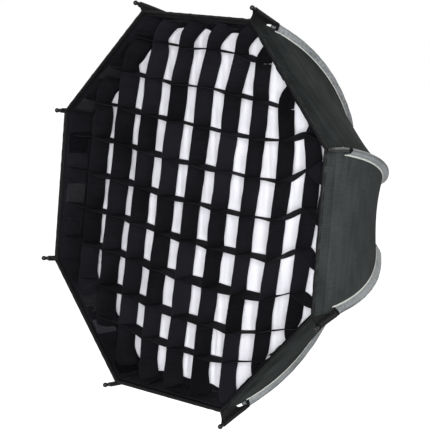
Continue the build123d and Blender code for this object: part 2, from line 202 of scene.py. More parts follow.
def ripples(s, t, seed, wavelength, stretch=1.0):
    """Cloth waves of about height 1: seven sines in seeded directions, stretched along t."""
    draw = np.random.RandomState(seed)
    total = 0.0
    for turn, scale, start in draw.uniform((0, 0.6, 0), (np.pi, 1.6, 2 * np.pi), (7, 3)):
        wave = 2 * np.pi * scale / wavelength
        total += np.sin(wave * (s * np.cos(turn) + t / stretch * np.sin(turn)) + start)
    return total / 3.2


def smooth(share):
    """Eases from 0 to 1: three squares less two cubes of the share, held outside 0 to 1."""
    share = np.clip(share, 0, 1)
    return share * share * (3 - 2 * share)


def bump(distance, width):
    """Bell of height 1: a Gaussian of the distance over the width."""
    return np.exp(-((distance / width) ** 2))


# ---- Making a piece ----


def cloth_mesh(name, points, ring, keep, flip, tone):
    """Quads between neighbours of a grid of points, with a UV map in metres.

    The UVs are the lengths along the grid's middle row and column. A ring's last column
    repeats its first. keep drops quads, and unused points go with them. tone is a light or
    dark value at each point, which the cloth's finish reads; it holds painted light and shade
    as well as random tone.
    """
    rows, columns = points.shape[:2]
    index = np.arange(rows)[:, None] * columns + np.arange(columns) % (columns - ring)
    v, u = (
        np.r_[0, np.cumsum(np.linalg.norm(np.diff(line, axis=0), axis=1))]
        for line in (points[:, columns // 2], points[rows // 2])
    )
    uv = np.stack(np.meshgrid(u, v), -1)

    def corners(grid):
        around = [grid[:-1, :-1], grid[1:, :-1], grid[1:, 1:], grid[:-1, 1:]]
        made = np.stack(around[::-1] if flip else around, 2)
        return made if keep is None else made[keep]

    used, faces = np.unique(corners(index), return_inverse=True)
    mesh = bpy.data.meshes.new(name)
    mesh.from_pydata(points.reshape(-1, 3)[used], [], faces.reshape(-1, 4).tolist())
    mesh.uv_layers.new(name="cloth").data.foreach_set("uv", corners(uv).astype("f").ravel())
    if tone is not None:
        painted_light_and_tone = np.broadcast_to(tone, points.shape[:2]).ravel()[used]
        mesh.attributes.new("tone", "FLOAT", "POINT").data.foreach_set("value", painted_light_and_tone.astype("f"))
    mesh.polygons.foreach_set("use_smooth", np.ones(len(mesh.polygons), bool))
    return mesh


def added(name, data):
    """An object of the scene, new, with its data."""
    made = bpy.data.objects.new(name, data)
    bpy.context.collection.objects.link(made)
    return made


def piece(
    name, points, finish, body="softbox",
    stands_for=None, thickness=0.0, offset=-1.0, ring=False, keep=None, flip=False, tone=None,
):
    """A surface made an object: given its wall, finish and body, and its node if any."""
    made = added(name, cloth_mesh(name, points, ring, keep, flip, tone))
    made.data.materials.append(finish.material)
    if thickness:
        wall = made.modifiers.new("wall", "SOLIDIFY")
        wall.thickness, wall.offset = thickness, offset
        edge = made.modifiers.new("edge", "BEVEL")
        edge.width, edge.segments, edge.limit_method = thickness * 0.3, 2, "ANGLE"
        edge.angle_limit, edge.harden_normals = np.radians(50), True
    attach(made, body)
    if stands_for:
        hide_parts(stands_for)
    return made


def dress(finish, *nodes):
    """Gives a finish to CAD nodes that keep their shape."""
    for node in nodes:
        target = frame["nodes"][node]
        if not target.material_slots:
            target.data.materials.append(None)
        for place in target.material_slots:
            place.material = finish.material


# ---- Finishes ----


def shade(red, green, blue):
    """Linear colour of an sRGB one written from 0 to 255."""
    value = np.array([red, green, blue]) / 255
    linear = np.where(value > 0.04045, ((value + 0.055) / 1.055) ** 2.4, value / 12.92)
    return (*linear.tolist(), 1.0)


class Nodes:
    """The nodes of a material or of the world, with short calls that add and fill them."""

    def __init__(self, owner):
        owner.use_nodes = True
        self.nodes, self.links = owner.node_tree.nodes, owner.node_tree.links

    def fill(self, node, values):
        """Fills a node's inputs, by name or in order, with values or other nodes' outputs."""
        pairs = values.items() if isinstance(values, dict) else enumerate(values)
        for key, value in pairs:
            if isinstance(value, bpy.types.NodeSocket):
                self.links.new(value, node.inputs[key])
            elif value is not None:
                node.inputs[key].default_value = value

    def add(self, kind, values=(), output=0, **settings):
        """Adds a node, fills it, and returns one of its outputs."""
        node = self.nodes.new(f"ShaderNode{kind}")
        for key, value in settings.items():
            setattr(node, key, value)
        self.fill(node, values)
        return node.outputs[output]


class Finish(Nodes):
    """A material in the making: its shader, and short calls that add a node to it."""

    def __init__(self, name, roughness, shine=0.5, metal=0.0):
        self.material = bpy.data.materials.new(name)
        super().__init__(self.material)
        self.look({"Roughness": roughness, "Specular IOR Level": shine, "Metallic": metal})

    def look(self, values):
        """Fills the shader's own sockets."""
        self.fill(self.nodes["Principled BSDF"], values)

    def place(self, kind, scale=(1.0, 1.0, 1.0)):
        """UV or Object coordinates, scaled."""
        return self.add("Mapping", {"Vector": self.add("TexCoord", output=kind), "Scale": scale})

    def noise(self, scale, detail=2.0, where=None):
        """Noise in Object coordinates, or in the ones given."""
        values = {"Vector": where or self.place("Object"), "Scale": scale, "Detail": detail}
        return self.add("TexNoise", values)

    def waves(self, where, spacing, **settings):
        """Bands or rings as far apart as the spacing says."""
        return self.add("TexWave", {"Vector": where, "Scale": 0.314 / spacing}, **settings)

    def fade(self, value, low, high):
        """Eases from 0 at the low value to 1 at the high one."""
        values = {"Value": value, "From Min": low, "From Max": high}
        return self.add("MapRange", values, interpolation_type="SMOOTHSTEP")

    def sum(self, first, share, second, other):
        """share times the first value plus other times the second."""
        scaled = self.add("Math", [first, share], operation="MULTIPLY")
        return self.add("Math", [second, other, scaled], operation="MULTIPLY_ADD")

    def colour(self, factor, low, high, dark, light):
        """Base colour from dark, where the factor is low, to light, where it is high."""
        node = self.nodes.new("ShaderNodeValToRGB")
        for stop, place, colour in zip(node.color_ramp.elements, (low, high), (dark, light)):
            stop.position, stop.color = place, shade(*colour)
        self.fill(node, [factor])
        self.look({"Base Color": node.outputs[0]})

    def relief(self, *layers):
        """Stacks bumps, each given as (height, depth in metres)."""
        normal = None
        for height, depth in layers:
            normal = self.add("Bump", {"Height": height, "Distance": depth, "Normal": normal})
        self.look({"Normal": normal})

    def roughen(self, factor, low, high):
        """Roughness from low, where the factor is 0, to high, where it is 1."""
        values = {"Value": factor, "To Min": low, "To Max": high}
        self.look({"Roughness": self.add("MapRange", values)})


def woven(
    name, dark, light, roughness, thread, nap=0.5, crumple=0.0006, hem=0.0, painted_light_and_tone=0.0, **surface
):
    """Woven cloth: crossed threads, uneven dye in patches and slubs, and soft crumples.

    A hem, as far along the cloth as it says, is darker and has a sewn line of light stitches.
    A share of the tone set at each point is added, which holds painted light and shade as well as
    random tone.
    """
    made = Finish(name, roughness, **surface)
    cloth = made.place("UV")
    across, along = (made.waves(cloth, thread, bands_direction=axis) for axis in "XY")
    threads = made.add("Math", [across, along], operation="MULTIPLY")
    patches = made.noise(11.0, 4.0)
    slubs = made.noise(700.0, where=made.place("UV", (1.0, 0.06, 1.0)))
    tone = made.sum(patches, 0.65, slubs, 0.35)
    if hem:
        way = made.add("SeparateXYZ", [made.place("UV")], output="Y")
        double = made.fade(way, hem - 0.0006, hem + 0.0006)
        before, after = made.fade(way, hem - 0.0007, hem), made.fade(way, hem, hem + 0.0007)
        stitches = made.sum(after, -1.0, before, 1.0)
        tone = made.sum(made.sum(tone, 1.0, double, 0.1), 1.0, stitches, 0.25)
    if painted_light_and_tone:
        own = made.add("Attribute", output="Fac", attribute_name="tone")
        tone = made.sum(tone, 1.0, own, painted_light_and_tone)
    made.colour(tone, 0.34, 0.86 if hem else 0.66, dark, light)
    crumples = made.noise(46.0, 5.0)
    made.relief((threads, nap * thread * 0.4), (crumples, crumple))
    return made


def black_finish(name="black_cloth", lift=0):
    """Black cloth of the grid and the lip; its paler and deeper copies, by a lift, are painted
    light and shade.
    """
    dark, light = np.add([[8, 8, 10], [25, 24, 29]], lift)
    return woven(name, dark, light, 0.8, 0.0007, painted_light_and_tone=0.13, shine=0.06)


def webbing_finish():
    """Black webbing: ribs across its length."""
    made = Finish("webbing", 0.55, shine=0.1)
    ribs = made.waves(made.place("UV"), 0.0016, bands_direction="Y")
    slubs = made.noise(260.0, 3.0)
    made.colour(made.sum(ribs, 0.3, slubs, 0.7), 0.3, 0.75, (8, 8, 9), (24, 24, 25))
    made.relief((ribs, 0.0003), (slubs, 0.0002))
    return made


def hook_and_loop_finish():
    """Hook-and-loop tape: rows of small round hooks with fuzz between them."""
    made = Finish("hook_and_loop", 0.85, shine=0.2)
    hooks = made.add("TexVoronoi", {"Vector": made.place("Object"), "Scale": 720.0})
    fuzz = made.noise(900.0, 4.0)
    made.colour(hooks, 0.1, 0.7, (44, 44, 46), (16, 16, 18))
    made.relief((made.sum(hooks, -1.0, fuzz, 0.5), 0.0006))
    return made


def steel_finish(name, dark, light, roughness):
    """Drawn steel: fine scratches, longer than they are wide, and slightly clouded plating."""
    made = Finish(name, roughness, metal=1.0)
    scratches = made.noise(1400.0, 3.0, made.place("Object", (1.0, 0.08, 1.0)))
    clouds = made.noise(60.0, 3.0)
    made.colour(made.sum(scratches, 0.5, clouds, 0.5), 0.35, 0.65, dark, light)
    made.roughen(clouds, roughness * 0.8, roughness * 1.3)
    made.relief((scratches, 0.00002))
    return made


def aluminium_finish(name, dark, light, roughness):
    """Turned aluminium: fine rings round the axis, with dull patches where hands touch it."""
    made = Finish(name, roughness, metal=1.0)
    rings = made.waves(made.place("Object"), 0.0005, wave_type="RINGS", rings_direction="Y")
    clouds = made.noise(45.0, 4.0)
    made.colour(made.sum(rings, 0.3, clouds, 0.7), 0.3, 0.7, dark, light)
    made.roughen(clouds, roughness * 0.75, roughness * 1.35)
    made.relief((rings, 0.00002))
    return made


def nylon_finish():
    """Moulded black nylon with a fine spark-eroded grain and faint wear."""
    made = Finish("moulded_nylon", 0.55, shine=0.45)
    grain = made.noise(1700.0)
    wear = made.noise(38.0, 5.0)
    made.colour(wear, 0.35, 0.7, (26, 26, 27), (42, 42, 43))
    made.roughen(wear, 0.48, 0.66)
    made.relief((grain, 0.00008))
    return made


def gloss_finish():
    """Smooth black plastic of the tips and the knob, with hazy rubbed patches."""
    made = Finish("black_plastic", 0.3, shine=0.25)
    haze = made.noise(90.0, 4.0)
    made.colour(haze, 0.3, 0.75, (8, 8, 8), (24, 24, 24))
    made.roughen(haze, 0.2, 0.36)
    made.relief((haze, 0.00006))
    return made


def rubber_finish():
    made = Finish("pad_rubber", 0.9, shine=0.3)
    grain = made.noise(1200.0, 3.0)
    made.colour(grain, 0.3, 0.7, (30, 30, 30), (46, 46, 46))
    made.relief((grain, 0.00006))
    return made


# ---- Cover and lining ----


def panel(number, inset, first_depth, last_depth, rows, columns, relief):
    """A side of the cover: straight across between two seams, and lifted square to itself.

    Rows follow the seams' length, columns go across, and relief(share, across, run) is the
    height of the lift, where share goes from -1 at one seam to 1 at the other.
    """
    run = runs(first_depth, last_depth, rows)
    share = np.linspace(-1, 1, columns)
    slope = slope_of(run)
    radius, y = seam(slope, -inset)
    across = radius * np.sin(half_side) * share
    out, back = np.cos(slope), np.cos(half_side) * np.sin(slope)
    lift = relief(share, across, run) / np.hypot(out, back)
    radial, direction = radius * np.cos(half_side) + out * lift, 45.0 * (number - 1)
    return laid_round(radial, y + back * lift, across, direction)


def slack(seed):
    """Height of a panel's sag: pulled in between the rods behind the lip, and a little wavy."""
    lip_run, full_run = run_of(slope_at(np.array([lip_depth, dome_depth])))

    def height(share, across, run):
        behind = np.clip((run - lip_run) / (full_run - lip_run), 0, 1)
        inner = 1 - share**2
        sag = -0.0055 * inner * np.sin(np.pi * behind) ** 0.8
        waves = 0.0009 * inner * smooth(behind * 5) * ripples(across, run, seed, 0.10)
        return sag + waves

    return height


def cover_relief(seed):
    """Slack of a panel, with the stitched line behind the lip, its puckers, and tight seams."""
    lip_run = run_of(slope_at(lip_depth))
    sagged = slack(seed)

    def height(share, across, run):
        gap = run - lip_run
        inside = 1 - share**8
        groove = -0.0005 * bump(gap, 0.0016)
        fold = 0.0004 * bump(gap - 0.004, 0.0025)
        puckers = 0.0004 * bump(gap, 0.011) * ripples(across, run, seed + 20, 0.013, 5.0)
        hem = 0.0006 * smooth((0.0235 - run) / 0.0012) - 0.0007 * bump(run - 0.0232, 0.0010)
        crease = -0.0006 * bump(run - 0.0150, 0.0012) * smooth(ripples(across, 0, seed + 5, 0.2))
        broken = smooth(ripples(across, 0, seed, 0.3))
        crease -= 0.0005 * bump(run - 0.0085, 0.0011) * broken
        edge = (1 - np.abs(share)) * across.max()
        pulls = 0.0005 * bump(edge - 0.006, 0.009) * ripples(run, across, seed + 40, 0.017, 4.0)
        sewn = groove + fold + puckers + hem + crease + pulls
        return sagged(share, across, run) + inside * sewn

    return height


def cover(number, finish):
    """A panel of the cover, cut as a tapered gore: wide at the lip and narrow at the hub.

    Painted light sets each panel's tone: the right one paler and the lower right one less dark
    than the rest, as the light falls on them. All are also a bit blotched at random.
    """
    rows, columns = 132, 73
    relief = cover_relief(number)
    points = panel(number, 0, cover_front, cover_rear, rows, columns, relief)
    along, over = np.linspace(0, 0.35, rows)[:, None], np.linspace(-0.09, 0.09, columns)
    blotches = 0.3 * ripples(over, along, 90 + number, 0.05, 0.5)
    made = piece(
        f"cover_cloth_{number}", points, finish,
        stands_for=f"cover_panel_{number}", thickness=0.0007,
        # Painted light: the per-panel part of the tone makes the right panel paler and the lower
        # right less dark; the blotches are random tone.
        tone={1: 0.65, 8: -0.2}.get(number, -0.4) + blotches,
    )


def lining(number, finish):
    """A panel of the lining, which hangs as slack as its cover, from behind the lip to the hub."""
    front = lip_depth + 0.0006
    points = panel(number, inner_inset, front, cover_rear, 84, 41, slack(number))
    made = piece(
        f"lining_cloth_{number}", points, finish,
        stands_for="silver_lining" if number == 1 else None, thickness=0.0005,
    )


# ---- Bands round the octagon ----


def way_round(per_side):
    """Columns round eight sides: the share from -1 to 1 of each side, and the sides gone by."""
    share = np.linspace(-1, 1, per_side, endpoint=False)
    around = (np.arange(8)[:, None] + (share + 1) / 2).ravel()
    return np.tile(share, 8), around


def band(distance, depth, share):
    """An octagonal band: its sides' distances from the axis, and depths, carried round.

    Rows follow its section, and columns go round by way_round's shares, mitred at the corners.
    """
    across = distance * np.tan(half_side) * share
    direction = np.repeat(np.arange(8) * 45.0, len(share) // 8)
    points = laid_round(distance, front_y + depth, across, direction)
    return np.concatenate([points, points[:, :1]], 1)


def lip_facing(finish):
    """Inside of the lip: a band from the front edge to the diffuser's seat, slightly wavy."""
    depth = np.linspace(0.0012, lip_depth, 24)[:, None]
    share, around = way_round(36)
    lift = 0.00015 * ripples(around * side_length, depth, 61, 0.03)
    made = piece(
        "lip_facing_cloth", band(side_distance(depth, inner_inset) + lift, depth, share),
        finish, stands_for="lip_facing", thickness=0.0007, ring=True,
    )


def binding(finish):
    """Tape folded over the front edge: a rounded U carried round, a little uneven."""
    turn = np.linspace(-np.pi / 2, np.pi / 2, 9)
    inset = np.r_[0.0031, 0.0031, 0.0012 - 0.0019 * np.sin(turn), -0.0007, -0.0007][:, None]
    depth = np.r_[0.0036, 0.0026, 0.0016 - 0.0015 * np.cos(turn), 0.0026, 0.0036][:, None]
    share, around = way_round(60)
    lift = 0.00025 * ripples(around * side_length, depth * 2, 71, 0.014, 3.0)
    piece(
        "binding_tape", band(side_distance(depth, inset) + lift, depth, share),
        finish, stands_for="lip_binding", thickness=0.0006, ring=True,
    )


def collar(finish):
    """Cloth cone that closes the cover on the hub: tucked under it, and pleated at the hub."""
    hub_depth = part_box("rear_collar")[1].y - front_y
    inset, hub_radius, pleat_count = 0.0022, 0.064, 56
    rim = side_distance(cover_rear, inset)
    under = np.linspace(0.0052, 0.0010, 5)
    tucked = side_distance(cover_rear - under, inset + 0.4 * under)
    share = np.linspace(0, 1, 16)
    radial = np.r_[tucked, rim + (hub_radius - rim) * share, 0.0625, 0.061, 0.059]
    depth = cover_rear + (hub_depth - cover_rear) * share
    depth = np.r_[cover_rear - under, depth, [hub_depth] * 3]
    turn = np.linspace(0, 2 * np.pi, 577)
    octagon = 1 / np.cos((turn + half_side) % (np.pi / 4) - half_side)
    gathered = smooth(np.r_[0 * under, share, 1, 1, 1] * 1.4 - 0.1)[:, None]
    pleats = gathered * (0.5 + 0.5 * np.cos(pleat_count * turn))
    radius = radial[:, None] * octagon - 0.0006 * pleats
    y = front_y + depth[:, None] - 0.0011 * pleats
    made = piece(
        "collar_cloth", laid_round(radius, y, 0, np.degrees(turn)), finish,
        stands_for="rear_collar", thickness=0.0008, ring=True,
    )


# ---- Rods' sleeves and corners ----


def beside_rod(number, slope, across, height):
    """Points over a seam, turned to its corner.

    height is the way from the seam towards the rod, and on past it. across goes to its sides,
    and moves with the rod's lean, by the share of the way to the rod.
    """
    base = np.stack(seam(slope), -1)
    radius, y, lean = rod_line(number, slope)
    way = np.stack([radius, y], -1) - base
    stand = np.linalg.norm(way, axis=-1)
    place = base + way * (height / stand)[..., None]
    across = across + lean * np.clip(height / stand, 0, 1)
    return laid_round(place[..., 0], place[..., 1], across, corner_direction(number))


def stand_of(number, slope):
    """Distance of a rod's axis from its seam."""
    return np.linalg.norm(np.stack(rod_line(number, slope)[:2]) - np.stack(seam(slope)), axis=0)


def turned_piece(name, number, line, radius, finish, stands_for):
    """A round piece on a rod's line, given by its radius at each point of the line.

    Each ring is the radius times (cos, sin) along two vectors square to the line. A ring of
    no radius closes each end, and is merged into one point.
    """
    axis = laid_round(*line, corner_direction(number))
    ahead = np.gradient(axis, axis=0)
    first = unit(np.cross(ahead, axis - [0, front_y, 0]))
    second = unit(np.cross(ahead, first))
    turn = np.linspace(0, 2 * np.pi, 17)[:, None]
    ring = np.cos(turn) * first[:, None] + np.sin(turn) * second[:, None]
    closed = [0, *range(len(axis)), -1]
    points = axis[closed, None] + np.r_[0, radius, 0][:, None, None] * ring[closed]
    made = piece(name, points, finish, stands_for=stands_for, ring=True, flip=True)
    shape = bmesh.new()
    shape.from_mesh(made.data)
    bmesh.ops.remove_doubles(shape, verts=shape.verts, dist=1e-7)
    shape.to_mesh(made.data)
    shape.free()


def rod(number, finish):
    """Spring rod: round, on its line from inside the tip to the mouth of its socket, and in it."""
    straight = np.linspace(rod_slope(-0.004), rod_slope(rod_straight_depth), 24)[:-1]
    bowed = np.linspace(slope_at(rod_straight_depth, rod_outset), rear_slope, 60)
    radial, y, across = rod_line(number, np.r_[straight, bowed])
    inside = np.linspace(0, socket_bore, 8)[1:]
    line = (
        np.r_[radial, radial[-1] - inside * np.sin(rear_slope)],
        np.r_[y, y[-1] + inside * np.cos(rear_slope)],
        np.r_[across, 0 * inside],
    )
    radius = np.full(len(line[0]), rod_radius)
    turned_piece(
        f"rod_steel_{number}", number, line, radius, finish, f"rod_{number}"
    )


def tip_cap(number, finish):
    """Moulded cap on a rod's tip: a ball, a neck and a tube, turned on the rod's line."""
    ball_radius, ball = 0.003, np.linspace(0.06, np.radians(140), 14)
    tube = [0.0026, 0.0034, 0.0042, 0.0046, 0.008, 0.014, 0.020, 0.026, 0.032, 0.0385, 0.0489]
    tube_radius = [0.0021, 0.0021, 0.0023] + [0.0025] * 8
    behind = np.r_[-ball_radius * np.cos(ball), tube, 0.0490]
    radius = np.r_[ball_radius * np.sin(ball), tube_radius, rod_radius + 0.00001]
    line = rod_line(number, rod_slope(tip_depth + behind))
    stands_for = "rod_tip_caps" if number == 1 else None
    turned_piece(f"tip_cap_{number}", number, line, radius, finish, stands_for)


def sleeve(number, finish, trim):
    """Cloth tunnel over a rod: a dome on two sewn feet, drawn tight over the rod.

    Across it goes with the cosine of a half turn, and up with a power of its sine. Its tone
    has two dark bands along it, painted shade where the dome turns from the light, and slanting
    streaky marks. A black trim goes round its front end.
    """
    run = runs(sleeve_front, sleeve_rear, 96)
    turn = np.linspace(0, np.pi, 21)
    foot, over_rod, half_width = 0.0014, 0.0026, 0.0037

    def dome(run, grow):
        slope = slope_of(run)
        top = stand_of(number, slope) + over_rod + grow
        rise = np.sin(turn)
        width = half_width - 0.0006 * rise**1.5 + grow
        creases = 0.00016 * rise * ripples(run, turn * 0.01, 80 + number, 0.02, 3.0)
        height = -foot + (top + foot) * rise**0.85 + creases
        return beside_rod(number, slope, -np.cos(turn) * width, height)

    # Painted shade: two dark bands along the dome's flanks where it turns from the light; the
    # slanting streaks are random tone.
    painted_shade_and_streaks = 0.5 - 1.3 * bump(turn - 1.15, 0.2) - 1.3 * bump(turn - 1.95, 0.25)
    painted_shade_and_streaks = painted_shade_and_streaks + 0.7 * ripples(run, turn * 0.012, 60 + number, 0.011, 0.25)
    made = piece(
        f"sleeve_cloth_{number}", dome(run, 0.0), finish,
        stands_for="rod_sleeves" if number == 1 else None, thickness=0.0004, tone=painted_shade_and_streaks,
    )
    edge = run[0, 0] + np.linspace(-0.0010, 0.0042, 6)[:, None]
    piece(f"sleeve_trim_{number}", dome(edge, 0.0006), trim, thickness=0.0005)


def piping(number, finish):
    """Light edging on both feet of a sleeve: a narrow rounded ribbon along each panel."""
    run = runs(sleeve_front, sleeve_rear, 90)
    turn = np.linspace(0, np.pi, 7)
    foot, half_width = 0.0043, 0.0009
    for name, sign in (("a", -1), ("b", 1)):
        across = sign * foot - half_width * np.cos(turn)
        height = -np.abs(across) * np.tan(half_side) + half_width * np.sin(turn) ** 0.6 - 0.0001
        points = beside_rod(number, slope_of(run), across, height)
        piece(f"sleeve_piping_{number}{name}", points, finish, thickness=0.0003)


def gusset(number, finish):
    """Webbing that ties a rod's tip to a corner: a flat web that opens into a loop.

    Its section is a teardrop: two layers side by side, then an arc round the tip.
    """
    loop, layer = 0.0010 if number == 1 else 0.0034, 0.0007
    web = np.linspace(0, 1, 12)
    arc = np.linspace(np.radians(155), 0, 12)[1:]
    half_across = np.r_[layer + (loop * np.sin(arc[0]) - layer) * web**5, loop * np.sin(arc)]
    share_up = np.r_[web, np.ones(len(arc))]
    above = np.r_[0 * web, loop * (np.cos(arc) - np.cos(arc[0]))]
    across = np.r_[-half_across, half_across[-2::-1]]
    share_up, above = (np.r_[value, value[-2::-1]] for value in (share_up, above))
    along = np.linspace(0, 1, 19)[:, None]
    low_slope = slope_at(-0.001 + 0.028 * along)
    high_slope = rod_slope(-0.001 + 0.0408 * along)
    slope = low_slope + (high_slope - low_slope) * share_up**2.2
    height = share_up * (stand_of(number, slope) + loop * np.cos(arc[0])) + above
    wobble = 0.0004 * ripples(along * 0.03, share_up * 0.012, 90 + number, 0.02)
    points = beside_rod(number, slope, across + wobble * (1 - share_up), height)
    piece(
        f"corner_gusset_{number}", points, finish,
        stands_for="corner_tabs" if number == 1 else None, thickness=0.0006,
    )


# ---- Diffuser ----


def diffuser(finish):
    """White sheet across the octagon: rows go up, columns across, held flat at its edge.

    Fine upright folds and slow waves move it along the axis.
    """
    inset, edge, behind = 0.0062, 0.02, 0.0012
    side = side_distance(diffuser_depth, inset)
    corner = side * np.tan(half_side)
    slanted, upright = np.linspace(-side, -corner, 36), np.linspace(-corner, corner, 50)[1:-1]
    z = np.r_[slanted, upright, np.linspace(corner, side, 36)][:, None]
    x = np.linspace(-1, 1, 181) * reach_at(side, z)
    away = np.clip((side - np.maximum(np.abs(z), np.abs(x))) / edge, 0, 1)
    folds = 0.0004 * ripples(x, z, 101, 0.011, 9.0) + 0.0009 * ripples(x, z, 102, 0.09, 2.0)
    y = front_y + diffuser_depth + behind + folds * smooth(away)
    made = piece(
        "diffuser_cloth", laid_round(x, y, z, 0), finish, body="diffuser",
        stands_for="diffuser_panel", thickness=0.0006, flip=True,
    )


def border(finish):
    """Black frame of the diffuser with its skirt: an L carried round, its free edge uneven."""
    share, around = way_round(60)
    around = around * 0.18
    skirt = side_distance(diffuser_depth, skirt_inset)
    skirt_depth = np.array([0.0415, 0.0435, 0.0449])
    frame_distance = skirt - np.linspace(0.0051, 0.0008, 8)
    skirt_distance = side_distance(skirt_depth, skirt_inset)
    distance = np.r_[frame_distance, skirt, skirt_distance][:, None]
    depth = np.r_[np.full(8, 0.0395), 0.0398, skirt_depth][:, None]
    free = np.clip(1 - np.arange(12) / 7, 0, 1)[:, None]
    distance = distance + free * 0.0016 * ripples(around, 0, 111, 0.04)
    depth = depth - 0.0003 * free * (1 + ripples(around, 0, 112, 0.03))
    made = piece(
        "border_cloth", band(distance, depth, share), finish, body="diffuser",
        stands_for="diffuser_border", thickness=0.0006, ring=True,
    )


# ---- Grid ----


def grid_drift(x, z):
    """How far the slack grid's front lies from its even places, as shifts in X and Z.

    It sits turned by about a sixteenth of a radian. It is also pushed to the right there and
    at the top, and lifted at the left and at the bottom.
    """
    shift_x = (0.060 + 0.06 * x) * z + 0.009 * smooth((x - 0.03) / 0.10)
    shift_x += 0.005 * smooth((-x - 0.14) / 0.04) + 0.010 * smooth((z - 0.15) / 0.05)
    shift_z = 0.0061 - 0.058 * np.minimum(x, 0.09) - 0.03 * z * smooth(-x / 0.1)
    shift_z += 0.0045 * smooth((-0.06 - x) / 0.06) + 0.0018 * smooth((x - 0.06) / 0.06)
    shift_z += 0.006 * smooth((-z - 0.14) / 0.04)
    return np.stack([shift_x, shift_z], -1)


def grid_lean(x, z):
    """How much further the grid's rear has gone, in X and Z: inwards from both sides, in X."""
    lean_x = 0.0012 + 0.0033 * np.clip((-0.07 - x) / 0.06, 0, 1)
    lean_x -= 0.0027 * smooth((x - 0.05) / 0.04) + 0.0025 * smooth((-0.14 - x) / 0.04)
    return np.stack([lean_x + 0 * z, 0 * (x + z)], -1)


# Where cloth is tugged: shifts in X and Z of crossings, by upright and level strip, and the
# sideways shifts of a strip's lower or left end and of its upper or right end
CROSSING_TUGS = {
    (8, 8): (-0.010, -0.009), (7, 8): (-0.0015, -0.003), (8, 7): (-0.002, 0.0),
    (7, 9): (-0.013, -0.005), (9, 7): (-0.0115, 0.0), (8, 2): (-0.001, 0.0075),
    (7, 1): (0.002, 0.004),
}
END_TUGS = {
    "v7": (0.0, -0.0168), "v8": (-0.001, -0.0145), "v9": (0.0, -0.014),
    "h1": (0.0, 0.0145), "h2": (0.0, 0.0215), "h8": (0.0, 0.0237), "h9": (0.0, 0.0247),
}
# How far to the right of its place each upright strip is sewn
SEWN_OFF = {3: -0.0010, 4: -0.0012, 6: 0.0010, 7: -0.0012, 9: 0.0017}


def rear_raised(x, z):
    """How much higher the level strips' rears lie, low on the right: a bell in Z, eased in X."""
    return 0.0055 * bump(z + 0.09, 0.055) * smooth((x + 0.07) / 0.09) * smooth((0.19 - x) / 0.04)


def crossing_shifts():
    """The drift at each crossing, made uneven, with the last cells lifted and a few tugged."""
    shifts = grid_drift(*crossings)
    shifts += np.random.RandomState(7).uniform(-0.0009, 0.0009, shifts.shape)
    shifts[8, :, 1] += 0.0215 * bump(strip_places + 0.01, 0.14)
    shifts[..., 1] -= 0.45 * rear_raised(*crossings)
    for number, amount in SEWN_OFF.items():
        shifts[number - 1, :, 0] += amount
    for (upright, level), tug in CROSSING_TUGS.items():
        shifts[upright - 1, level - 1] += tug
    return shifts


def crossing_leans():
    """The lean at each crossing, with one level strip's rear raised in its last cells."""
    leans = grid_lean(*crossings)
    leans[..., 1] += rear_raised(*crossings)
    leans[8, 5, 1] += 0.011
    return leans


def strip_knots(upright, number):
    """Where a strip is held, along it: at the rim, at each crossing, and at the rim again.

    With these places come the shifts of its front and the leans of its rear there, each as a
    row of sideways ones and a row of ones along it.
    """
    at = strip_places[number - 1]
    tip = reach_at(side_distance(strip_front, strip_inset), at)
    inside = np.abs(strip_places) < tip
    stations = np.r_[-tip, strip_places[inside], tip]
    x, z = (at, stations) if upright else (stations, at)
    shifts, leans = grid_drift(x, z), grid_lean(x, z)
    own = (number - 1, inside) if upright else (inside, number - 1)
    shifts[1:-1], leans[1:-1] = crossing_shifts()[own], crossing_leans()[own]
    order = 1 if upright else -1
    return stations, shifts.T[::order], leans.T[::order]


def near(gap, length):
    """1 at no gap, falling evenly to 0 at a length."""
    return np.clip(1 - gap / length, 0, 1)


def drawn_ends(upright, along, reach, knots, back):
    """What the rim does to a strip: its sideways curl, and its front and rear edges' ways back.

    Its edges draw in near the rim. At the upper right they round off into a lobe, and near
    two corners its rear edge is drawn far in and it doesn't curl.
    """
    from_first, from_last = along + reach[:, :1], reach[:, 1:] - along
    from_end = np.minimum(from_first, from_last)
    corner = side_distance(strip_front, strip_inset) * np.tan(half_side)
    first, last = knots[0, [0, -1], 0]
    lobe = (along > 0) & (last > corner)
    drawn = (along < 0) & (first > corner) if upright else (along > 0) & (last < -corner)
    end = near(from_last, 0.023)
    curl = 0.010 * near(from_first, 0.03) ** 2 + 0.023 * (1 - np.sqrt(1 - end**2))
    curl = (back * curl + (1 - back) * 0.008 * end**2) * ~(lobe | drawn)
    waist = -0.003 * bump(from_end - 0.012, 0.008)
    if upright:
        waist = -0.005 * bump(from_last - 0.023, 0.010)
    recess = 0.006 * near(from_end, 0.018) ** 2
    front = np.where(lobe, 0.0195 * near(from_last, 0.026) ** 1.6, recess)
    rear = np.where(lobe, -0.005 * near(from_last, 0.008) ** 2, waist)
    return curl, front, np.where(drawn, -0.011 * near(from_end, 0.022) ** 1.2, rear)


